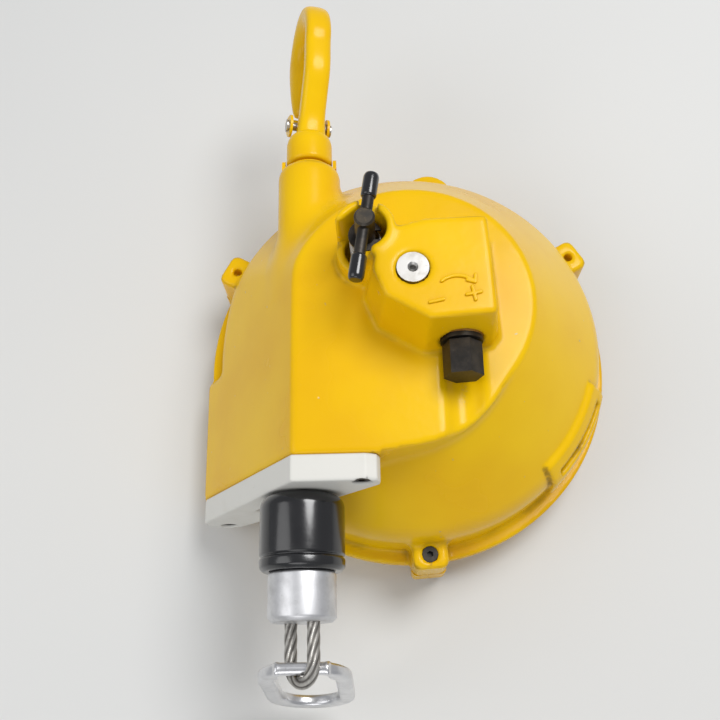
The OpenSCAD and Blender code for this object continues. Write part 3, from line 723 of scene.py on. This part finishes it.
@dataclass
class CaseFront:
    """Cast front shell: drum wall and cone, flat flank, rope mouth, gear block and hook neck."""

    wall: float = 112.0
    rim: float = 120.0
    skin: float = 5.0
    face: float = 135.0
    plate: float = 8.0
    block_top: float = 171.0
    lugs: tuple[float, ...] = (31.0, 151.0, 274.0)
    lug_ring: float = 118.0
    lock_at: tuple[float, float] = (-22.3, 22.8)
    neck_at: tuple[float, float] = (-54.5, 102.0)
    worm_at: tuple[float, float] = (23.5, 144.5)
    pitch: float = 1.7
    block: tuple[tuple[float, float], ...] = (
        (-8.5, 22), (6.3, 26), (34.4, 27), (36.6, 26), (38.5, -21.5),
        (37, -23.5), (7, -25.6), (-13.2, -13.4), (-18.8, 0.4), (-17, 12),
    )
    pad_edge: Callable = field(init=False)
    block_edge: Callable = field(init=False)
    mouth_edge: Callable = field(init=False)
    seat_edge: Callable = field(init=False)

    def __post_init__(self) -> None:
        """Works out the flat outlines once."""
        self.seat_edge = outline_distance(GUIDE_EDGE)
        ends = [(-61, -80), (-20, -80)]
        self.pad_edge = hull_distance(circle(0, 0, 62.7) + circle(-6, -19, 58) + ends)
        self.block_edge = hull_distance(self.block)
        upper = [(-58, 127), (-30, 127), (-25, 124), (-25, 120)]
        self.mouth_edge = hull_distance(upper + [(-93, 30), (-101, 30), (-114.5, 32)])

    def skin_of(self, x: Array, y: Array, z: Array, r: Array, flank: Array) -> Array:
        """Drum wall, cone and front face cut by the flank, joined to the rope chute and the pad."""
        top = z - self.face
        cone = (r - self.wall) * 0.823 + (z - 64) * 0.568
        shell = smax(r - self.wall, cone, 6)
        right = (x + 18) * 0.801 - (z - 123) * 0.599
        chute = np.maximum(smax(smax(right, x + 18, 5), -(y + 80), 0.8), y + 8)
        pad = np.maximum(self.pad_edge(x, y), 105 - z)
        joined = smin(smin(shell, chute, 5), pad, 2.2)
        return smax(smax(joined, flank, 3), top, 2.2)

    def added(self, x: Array, y: Array, z: Array, r: Array, body: Array) -> Array:
        """The skin with its gear block, lock boss, neck, flange, lugs, eye and slot frame."""
        top = z - self.block_top
        side = self.block_edge(x, y) + top * 0.12
        block = np.maximum(smax(side, top, 1.6), 125 - z)
        body = smin(body, block, 3)
        boss = np.hypot(x - self.lock_at[0], y - self.lock_at[1])
        body = smax(smin(body, np.maximum(boss - 15, 125 - z), 3), top, 2)
        stem = np.hypot(x - self.neck_at[0], z - self.neck_at[1]) - 17.7
        neck = np.maximum(smax(stem, y - 96, 7), 15 - y)
        body = smin(body, neck, 8)
        flank = self.flank_of(x, z)
        body = smin(body, smax(r - self.rim, z - 30, 1), 3)
        body = smax(body, flank, 1.5)
        for turn in self.lugs:
            u, v = turned(x, y, turn)
            lug = smax(smax(smax(np.abs(v) - 10, u - 126, 5), z - 53, 2.5), 95 - u, 0)
            body = smin(body, lug, 4)
        eye = smax(np.hypot(x - 18, y - 116) - 16, z - 36, 2)
        body = smin(body, eye, 5)
        bearing = np.degrees(np.arctan2(y, x)) + 31.5
        slope = (r - self.wall) * 0.823 + (z - 64) * 0.568
        ends = np.maximum((np.abs(bearing) - 15.5) * 1.95, np.abs(z - 60) - 17)
        raised = smax(smax(slope - 2.6, r - 115.5, 4), ends, 1.2)
        return smin(body, raised, 0.8)

    def flank_of(self, x: Array, z: Array) -> Array:
        """Distance past the leaning flat that cuts the case's left side."""
        return -(x + 61 + 0.5825 * (self.face - z)) * 0.864

    def value(self, x: Array, y: Array, z: Array) -> Array:
        """Signed distance of the whole shell, rooms and bores taken out."""
        r = np.hypot(x, y)
        flank = self.flank_of(x, z)
        body = self.added(x, y, z, r, self.skin_of(x, y, z, r, flank))
        cone = (r - self.wall + self.skin) * 0.8144 + (z - 62.5) * 0.5805
        room = np.maximum(r - self.wall + self.skin, cone)
        room = np.maximum(room, np.maximum(z - self.face + self.plate, flank + self.skin))
        mouth = np.maximum(self.mouth_edge(x, z), np.maximum(-82 - y, y + 8))
        body = np.maximum(body, -np.minimum(room, mouth))
        boss = np.hypot(x - self.lock_at[0], y - self.lock_at[1])
        u, v = turned(x - self.lock_at[0], y - self.lock_at[1], 205)
        body = smax(body, -np.maximum(boss - 10.6, 136 - z), 1.5)
        body = smax(body, -np.maximum(np.maximum(np.abs(v) - 9, 3 - u), 146 - z), 1.5)
        along, w = turned(x - self.lock_at[0], y - self.lock_at[1], 81)
        notch = np.maximum(np.maximum(np.abs(w) - 4.6, np.abs(along) - 18), 165.5 - z)
        body = smax(body, -notch, 1.2)
        flute = np.maximum(np.hypot(x - 24.5, z - 141) - 11, np.maximum(-101 - y, y + 31))
        body = smax(body, -flute, 2.5)
        bores = [
            np.maximum(r - 16.2, np.maximum(126 - z, z - 163)),
            np.maximum(r - 8.1, 160 - z),
            tube(x, y, z, self.worm_at, 11.4, -18, 17),
            tube(x, y, z, self.worm_at, 8, 16, 22),
            tube(x, y, z, self.worm_at, 10.7, -60, 0),
            tube(x, y, z, self.neck_at, 13, 34, 84),
            tube(x, y, z, self.neck_at, 9.5, 60, 110),
            np.maximum(boss - 7.5, np.maximum(115 - z, z - 145)),
            np.maximum(np.hypot(x - 18, y - 118) - 5, z - 60),
            self.slot_of(x, y, z, r),
        ]
        for bore in bores:
            body = smax(body, -bore, 1)
        for turn, hole, foot in zip(np.radians(self.lugs), (2.6, 2.6, 4.5), (46, 46, 47)):
            at = np.hypot(x - self.lug_ring * math.cos(turn), y - self.lug_ring * math.sin(turn))
            body = smax(body, -np.maximum(at - hole, foot - z), 0.8)
        body = smax(body, -np.maximum(self.seat_edge(x, z), y + 80), 0.5)
        return np.maximum(body, 26.4 - z)

    def slot_of(self, x: Array, y: Array, z: Array, r: Array) -> Array:
        """The long slot through the wall at the lower right."""
        bearing = np.degrees(np.arctan2(y, x)) + 31.5
        along = (z - 66) * 0.823 - (r - 110.6) * 0.568
        deep = -9 - ((r - self.wall) * 0.823 + (z - 64) * 0.568)
        slot = smax(np.abs(along) - 2.3, (np.abs(bearing) - 12) * 1.95, 0.8)
        return np.maximum(slot, deep)

    def build(self) -> None:
        """Meshes the shell in place of the CAD casting."""
        points, faces = implicit(self.value, (-128, -134, 23), (132, 136, 176), self.pitch)
        shell = piece("front_casting", points, faces, Finish.ENAMEL, "case")
        wear_and_corner_shade(shell, self.value, points)
        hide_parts("front_case")


@dataclass
class BlockMarks:
    """Raised minus, plus and turning arrow on top of the gear block."""

    top: float = 171.0
    height: float = 0.55
    half: float = 0.85

    def value(self, x: Array, y: Array, z: Array) -> Array:
        """Distance to the marks' strokes, as a low rounded ridge."""
        strokes = [
            stick(x, y, (7.2, -18.2), (13.6, -16.9)),
            stick(x, y, (24.6, -14.8), (31.4, -13.6)),
            stick(x, y, (28.6, -17.5), (27.4, -10.9)),
        ]
        ring = np.abs(np.hypot(x - 20.5, y + 16.5) - 11.5)
        turn = np.degrees(np.arctan2(y + 16.5, x - 20.5))
        strokes.append(ring + np.maximum(np.abs(turn - 88) - 42, 0) * 0.2)
        strokes.append(stick(x, y, (28.9, -8.5), (25.3, -7.4)))
        strokes.append(stick(x, y, (28.9, -8.5), (29.2, -4.8)))
        flat = strokes[0]
        for stroke in strokes[1:]:
            flat = np.minimum(flat, stroke)
        return smax(flat - self.half, np.abs(z - self.top) - self.height, 0.5)

    def build(self) -> None:
        """Meshes the marks."""
        points, faces = implicit(self.value, (2, -24, 169.5), (37, 0, 172.5), 0.32)
        piece("block_marks", points, faces, Finish.ENAMEL, "case")


@dataclass
class RopeGuide:
    """Nylon plate over the rope mouth, with a lipped slot that the rope wanders along."""

    back: float = -80.0
    thick: float = 13.5
    slot: float = 4.0
    outline: Callable = field(init=False)

    def __post_init__(self) -> None:
        """Works out the outline once."""
        self.outline = outline_distance(GUIDE_EDGE)

    def value(self, x: Array, y: Array, z: Array) -> Array:
        """Signed distance of the plate."""
        middle = self.back - self.thick / 2
        plate = smax(self.outline(x, z), np.abs(y - middle) - self.thick / 2, 1.6)
        track = stick(x, z, (-58, 102), (-82.5, 59.5))
        plate = smax(plate, self.slot - track, 3)
        for ax, az in ((-27, 129.5), (-109, 18)):
            off = np.hypot(x - ax, z - az)
            plate = smax(plate, -np.maximum(off - 5, y + 87.5), 0.6)
            plate = np.maximum(plate, 2.6 - off)
        return plate

    def build(self) -> None:
        """Meshes the plate."""
        points, faces = implicit(self.value, (-125, -96, 6), (-15, -78, 138), 0.9)
        plate = piece("nylon_guide", points, faces, Finish.NYLON, "case")
        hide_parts("wire_guide")


@dataclass
class Rope:
    """Wire rope of six strands, laid on the drum, drawn through the guide and looped at its end."""

    radius: float = 3.25
    pitch: float = 45.0
    line: tuple[float, float] = (-58.0, 102.0)
    travel: float = 1455.0

    def strands(
        self, path: Array, up: Array, sides: int, along: Array
    ) -> tuple[Array, Array, Array]:
        """Six lobes twisted along a path.

        The section's radius at angle a is that of the outermost of six circles, of a third
        of the rope's radius, set round its middle and turned by a turn for each pitch.

        Returns:
            Points, faces and how deep each point lies in a valley, 0 to 1.
        """
        a = np.linspace(0, math.tau, sides, endpoint=False)
        lobe = math.pi / 3
        twist = math.tau * along[:, None] / self.pitch
        phase = (a[None] - twist + lobe / 2) % lobe - lobe / 2
        third = self.radius / 3
        rest = np.maximum(third**2 - (2 * third * np.sin(phase)) ** 2, 0)
        reach = 2 * third * np.cos(phase) + np.sqrt(rest)
        reach = np.maximum(reach, 0.8 * self.radius)
        section = np.stack([reach * np.cos(a), reach * np.sin(a)], -1)
        points = sweep(path, section, up)
        valley = np.clip((self.radius - reach) / (0.2 * self.radius), 0, 1).reshape(-1)
        grid = grid_faces(len(path), sides, False, True)
        points, faces = capped(points, grid, len(path), sides)
        return points, faces, np.append(valley, [0, 0])

    def lay(
        self, name: str, path: Array, up: Array, sides: int, along: Array, body: str
    ) -> bpy.types.Object:
        """Makes one length of rope with its UV map and its valleys."""
        points, faces, valley = self.strands(path, up, sides, along)
        thing = piece(name, points, faces, Finish.ROPE, body)
        layer = thing.data.attributes.new("valley", "FLOAT", "POINT")
        layer.data.foreach_set("value", valley.astype(np.float32))
        u = np.arange(sides + 1) / sides
        v = along / self.pitch
        corners = np.stack(np.broadcast_arrays(u[None, :], v[:, None]), -1)
        cells = [corners[:-1, :-1], corners[:-1, 1:], corners[1:, 1:], corners[1:, :-1]]
        loops = np.stack(cells, 2)
        flat = np.zeros(len(thing.data.loops) * 2, np.float32)
        flat[: loops.size] = loops.reshape(-1)
        thing.data.uv_layers.new(name="lay").data.foreach_set("uv", flat)
        return thing

    def windings(self) -> None:
        """The six turns on the drum's cone."""
        for i in range(6):
            z, r = 102 - 8.5 * i, 58 + 8.5 * 0.577 * i
            start, span = (212, 328) if i == 0 else (0, 359.9)
            a = np.radians(start + np.linspace(0, span, 200))
            path = np.stack([r * np.cos(a), r * np.sin(a), np.full_like(a, z)], -1)
            along = r * (a - a[0])
            turn = self.lay(f"rope_turn_{i + 1}", path, np.array([0, 0, 1.0]), 18, along, "drum")
            if i == 0:
                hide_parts("rope_windings")

    def run(self) -> None:
        """The straight length: its part in the guide is packed into rows whose lay runs over the
        rope's whole travel.
        """
        x, z = self.line
        t = np.linspace(0, 1, 4000)
        drawn = 13.5 * t + self.travel * (3 * t**2 - 2 * t**3)
        even = np.interp(np.linspace(0, drawn[-1], 420), drawn, t)
        y = np.concatenate([np.linspace(-0.1, -79, 50), -80 - 13.5 * even, [-93.65]])
        reach = 80 + np.linspace(0, drawn[-1], 420)
        along = np.concatenate([np.linspace(0, 79, 50), reach, [80.2 + drawn[-1]]])
        path = np.stack([np.full_like(y, x), y, np.full_like(y, z)], -1)
        rope = self.lay("rope_length", path, np.array([0, 0, 1.0]), 24, along, "")
        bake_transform(rope)
        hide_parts("rope_run")

    def loop(self) -> None:
        """The eye that holds the link, leaving the ferrule as two strands."""
        x, z = self.line
        r, low, turn = 9.6, 174.1, math.radians(50)
        a = np.linspace(math.pi, 0, 60)
        flat = np.vstack([
            np.stack([np.full(20, -r), -np.linspace(140, low - 0.6, 20)], -1),
            np.stack([r * np.cos(a), -low - r * np.sin(a)], -1),
            np.stack([np.full(20, r), -np.linspace(low - 0.6, 140, 20)], -1),
        ])
        out, down = flat.T
        path = np.stack([x + out * math.cos(turn), down, z + out * math.sin(turn)], -1)
        steps = np.linalg.norm(np.diff(path, axis=0), axis=1)
        along = np.concatenate([[0], np.cumsum(steps)])
        up = np.array([-math.sin(turn), 0, math.cos(turn)])
        eye = self.lay("rope_loop", path, up, 48, along, "rope_end")
        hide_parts("rope_eye")

    def build(self) -> None:
        """Makes every length of the rope."""
        self.windings()
        self.run()
        self.loop()


@dataclass
class RopeEnd:
    """What hangs on the rope: rubber bumper, aluminium ferrule and flat steel link."""

    line: tuple[float, float] = (-58.0, 102.0)
    link_y: float = -177.2
    link_r: float = 3.05
    lean: float = 12.0

    def on_rope(self, points: Array) -> Array:
        """Moves (x, y, distance from the shaft) on to the load line, distance pointing down."""
        x, y, down = points.T
        return np.stack([self.line[0] + x, -down, self.line[1] + y], -1)

    def lathe(self, name: str, profile: Profile, ease: float, finish: Finish, node: str) -> None:
        """A turned piece on the rope with eased corners."""
        points, faces = revolve(eased(profile, ease), 128, self.on_rope)
        made = piece(name, points, faces, finish, "rope_end")
        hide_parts(node)

    def link_value(self, x: Array, y: Array, z: Array) -> Array:
        """Signed distance of the link: a flat ring with a round bar where the rope holds it."""
        x, y, z = x - self.line[0], y - self.link_y, z - self.line[1]
        c, s = math.cos(math.radians(self.lean)), math.sin(math.radians(self.lean))
        y, z = y * c - z * s, z * c + y * s
        band = np.abs(stick(x, z, (0, -55.5), (0, -18)) - 19.25) - 4.25
        ring = smax(band, np.abs(y) - self.link_r, 2.4)
        gap = np.maximum(np.abs(x) - 12, np.abs(z + 2.25) - 9.75)
        bar = np.maximum(np.hypot(y, z) - self.link_r, np.abs(x) - 13)
        return smin(smax(ring, -gap, 1.2), bar, 1.5)

    def build(self) -> None:
        """Makes the bumper, the ferrule and the link."""
        quarter = np.linspace(math.pi / 2, 0, 12)
        crown = [(14.5 + 7 * math.cos(a), 100.8 - 7 * math.sin(a)) for a in quarter]
        groove = [(21.5, 124), (20.6, 124.7), (20.6, 125.3), (21.5, 126)]
        bumper = [(3.4, 93.8)] + crown + groove + [(21.5, 130), (19.5, 132), (3.4, 132)]
        self.lathe("bumper", bumper, 0.7, Finish.RUBBER, "rubber_bumper")
        ferrule = [(0.5, 132), (16, 132), (17, 133), (17, 154), (15, 156), (0.5, 156)]
        self.lathe("rope_ferrule", ferrule, 0.8, Finish.ALUMINIUM, "ferrule")
        low = (self.line[0] - 25, self.link_y - 26, self.line[1] - 80)
        high = (self.line[0] + 25, self.link_y + 7, self.line[1] + 8)
        points, faces = implicit(self.link_value, low, high, 0.7)
        link = piece("link_ring", points, faces, Finish.POLISHED, "link")
        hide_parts("end_link")


@dataclass
class LoadHook:
    """Forged swivel hook: an egg-shaped section carried along the bend, on a turned collar."""

    axis: tuple[float, float] = (-54.5, 102.0)
    turn: float = 17.0
    centre: float = 178.0
    bend: float = 22.0

    def place(self, points: Array) -> Array:
        """Moves (across, along, sideways) into the row frame."""
        a = math.radians(90 + self.turn)
        u, v, w = points.T
        return np.stack([
            self.axis[0] + u * math.cos(a) + w * math.sin(a), v,
            self.axis[1] - u * math.sin(a) + w * math.cos(a),
        ], -1)

    def stand(self, points: Array) -> Array:
        """Moves a piece made about Z so that it stands on the hook's own axis."""
        x, y, z = points.T
        return self.place(np.stack([x, z, -y], -1))

    def stations(self) -> Array:
        """Across, along, half depth and half width at each stop along the bend."""
        a = np.radians(np.arange(200, 19, -20))
        arc = np.stack([
            self.bend * np.cos(a), self.centre + self.bend * np.sin(a),
            7.4 - 0.9 * np.maximum(0, np.sin(a)), np.full_like(a, 7.2),
        ], -1)
        stem = [
            (0, 110, 10, 9.5), (-1, 121, 9.5, 8), (-5, 131, 8.4, 7.3), (-12, 142, 7.8, 7.2),
            (-19, 154, 7.6, 7.2),
        ]
        bill = [
            (22, 178, 7, 7), (22.3, 170, 6.2, 6.6), (22.8, 162, 5.2, 6), (23.2, 154, 4, 5),
            (23.35, 151, 3.1, 4.1),
        ]
        return np.vstack([stem, arc, bill])

    def build(self) -> None:
        """Makes the hook and its shank."""
        s = smooth_path(self.stations(), 150)
        cut = np.sqrt(1 - np.linspace(0, 1, 8)[1:] ** 2)[:, None]
        tip = np.repeat(s[-1:], 7, 0)
        tip[:, 1] -= np.linspace(0, 1, 8)[1:] * 1.5
        tip[:, 2:] *= np.maximum(cut, 0.03)
        s = np.vstack([s, tip])
        a = np.linspace(0, math.tau, 48, endpoint=False)
        seam_line = 1 + 0.03 * np.exp(-((np.sin(a) / 0.09) ** 2))
        depth = s[:, 2:3] * np.sign(np.sin(a)) * np.abs(np.sin(a)) ** 0.8
        flat = np.sign(np.cos(a)) * np.abs(np.cos(a)) ** 0.7
        width = s[:, 3:4] * flat * (1 - 0.25 * np.sin(a)) * seam_line
        path = np.stack([s[:, 0], s[:, 1], np.zeros(len(s))], -1)
        points = sweep(path, np.stack([-depth, width], -1), np.array([0, 0, 1.0]))
        points, faces = capped(points, grid_faces(len(s), 48, False, True), len(s), 48)
        forging = piece("hook_forging", self.place(points), faces, Finish.ENAMEL, "hook")
        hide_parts("hook")
        shank = [(0.4, 58), (7.5, 58), (7.5, 99), (12, 99), (13.2, 100.5)]
        collar = [(13.2, 113), (12.3, 116.5), (10, 119), (0.4, 120)]
        points, faces = revolve(eased(shank + collar, 1.0), 96, self.stand)
        piece("hook_shank", points, faces, Finish.ENAMEL, "hook")


@dataclass
class DrumLock:
    """Cross bar of the drum lock with its two rounded grips."""

    at: tuple[float, float, float] = (-22.3, 22.8, 175.1)
    turn: float = 81.0

    def place(self, points: Array) -> Array:
        """Moves a piece made about Z so that it lies along the bar."""
        a = math.radians(self.turn)
        along = points[:, 2] - 2.5
        x = self.at[0] + along * math.cos(a) - points[:, 1] * math.sin(a)
        y = self.at[1] + along * math.sin(a) + points[:, 1] * math.cos(a)
        return np.stack([x, y, self.at[2] - points[:, 0]], -1)

    def coil(self) -> None:
        """The lift spring: a helix of six laps."""
        foot, top, wire = 137.8, 159.2, 0.7
        a = np.linspace(0, 6 * math.tau, 260)
        height = np.linspace(foot, top, a.size)
        path = np.stack([self.at[0] + 7.4 * np.cos(a), self.at[1] + 7.4 * np.sin(a), height], -1)
        section = wire * np.array(circle(0, 0, 1, 12))
        points = sweep(path, section, np.array([0, 0, 1.0]))
        points, faces = capped(points, grid_faces(a.size, 12, False, True), a.size, 12)
        coil = piece("lock_coil", points, faces, Finish.STEEL, "case")
        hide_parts("lock_spring")
        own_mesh(coil)

    def build(self) -> None:
        """Makes the bar, both grips and the spring."""
        self.coil()
        rod = eased([(0.2, -25), (2.9, -25), (2.9, 25), (0.2, 25)], 0.4)
        points, faces = revolve(rod, 48, self.place)
        bar = piece("lock_cross_bar", points, faces, Finish.BLACK, "lock")
        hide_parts("lock_bar")
        for side, name in ((-1, "left"), (1, "right")):
            knob = [(3.0, 15.5), (3.9, 16.2), (3.9, 26.8), (3.2, 28.7), (0.2, 28.7)]
            profile = eased(knob, 0.8)
            if side < 0:
                profile = [(radius, -along) for radius, along in profile[::-1]]
            points, faces = revolve(profile, 48, self.place)
            grip = piece(f"lock_grip_{name}", points, faces, Finish.RUBBER, "lock")
            if side < 0:
                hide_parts("lock_grips")


@dataclass
class Studio:
    """Camera, pale floor and three soft lights."""

    eye: tuple[float, float, float] = (-0.01805, -0.18639, 0.55583)
    right: tuple[float, float, float] = (0.99945, -0.01908, -0.02727)
    up: tuple[float, float, float] = (0.02727, 0.93931, 0.34200)
    forward: tuple[float, float, float] = (-0.01909, 0.34255, -0.93930)
    lens: float = 45.0

    def camera(self) -> None:
        """Sets the scene's camera."""
        data = bpy.data.cameras.new("camera")
        data.lens, data.sensor_width, data.clip_start = self.lens, 36.0, 0.01
        cam = bpy.data.objects.new("camera", data)
        bpy.context.scene.collection.objects.link(cam)
        turn = Matrix((self.right, self.up, tuple(-c for c in self.forward))).transposed()
        cam.matrix_world = Matrix.Translation(self.eye) @ turn.to_4x4()
        bpy.context.scene.camera = cam

    def light(
        self, name: str, place: tuple[float, float, float], power: float, size: float
    ) -> None:
        """Adds one soft light that looks at the middle of the case."""
        data = bpy.data.lights.new(name, "AREA")
        data.energy, data.size, data.shape = power, size, "DISK"
        lamp = bpy.data.objects.new(name, data)
        bpy.context.scene.collection.objects.link(lamp)
        lamp.location = place
        gaze = Vector((0.0, 0.0, 0.06)) - Vector(place)
        lamp.rotation_euler = gaze.to_track_quat("-Z", "Y").to_euler()

    def floor(self) -> None:
        """Adds the pale floor just under the object."""
        low = CAD_BOX[0][2]
        size = 6.0
        mesh = bpy.data.meshes.new("floor")
        corners = [(-size, -size, low), (size, -size, low), (size, size, low), (-size, size, low)]
        mesh.from_pydata(corners, [], [(0, 1, 2, 3)])
        ground = bpy.data.objects.new("floor", mesh)
        bpy.context.scene.collection.objects.link(ground)
        g = Graph("floor_board")
        cloud = g.noise(2.0, 3.0)
        colour = g.mix(cloud, (0.72, 0.72, 0.70, 1.0), (0.66, 0.66, 0.645, 1.0))
        mesh.materials.append(g.wire(Base_Color=colour, Roughness=0.8))

    def build(self) -> None:
        """Sets the camera, the lights, the sky and the floor."""
        self.camera()
        self.light("key", (0.5, 0.4, 1.35), 13.5, 0.7)
        self.light("fill", (-1.0, -0.2, 1.0), 4.0, 1.0)
        self.light("low", (-0.2, -1.2, 0.8), 3.5, 0.9)
        world = bpy.data.worlds.new("studio")
        world.use_nodes = True
        world.node_tree.nodes["Background"].inputs[0].default_value = (0.93, 0.95, 1.0, 1.0)
        world.node_tree.nodes["Background"].inputs[1].default_value = 0.4
        bpy.context.scene.world = world
        bpy.context.scene.view_settings.view_transform = "Standard"
        self.floor()


def dress_cad() -> None:
    """Gives every CAD node the finish that the record names for it."""
    by_slot = {finish.slot: finish for finish in Finish}
    for part in frame["record"]["subparts"]:
        thing = frame["nodes"][part["node"]]
        material = by_slot[part["material_slot"]].material()
        if not thing.material_slots:
            thing.data.materials.append(material)
        for held in thing.material_slots:
            held.material = material
        log.info("%s: %s", part["node"], part["material_slot"])


def main() -> None:
    """Builds the balancer and its studio."""
    logging.basicConfig(level=logging.INFO, format="%(name)s %(message)s")
    Studio().build()
    dress_cad()
    for part in (CaseFront(), BlockMarks(), RopeGuide(), Rope(), RopeEnd(), LoadHook(), DrumLock()):
        part.build()


if __name__ == "__main__":
    main()
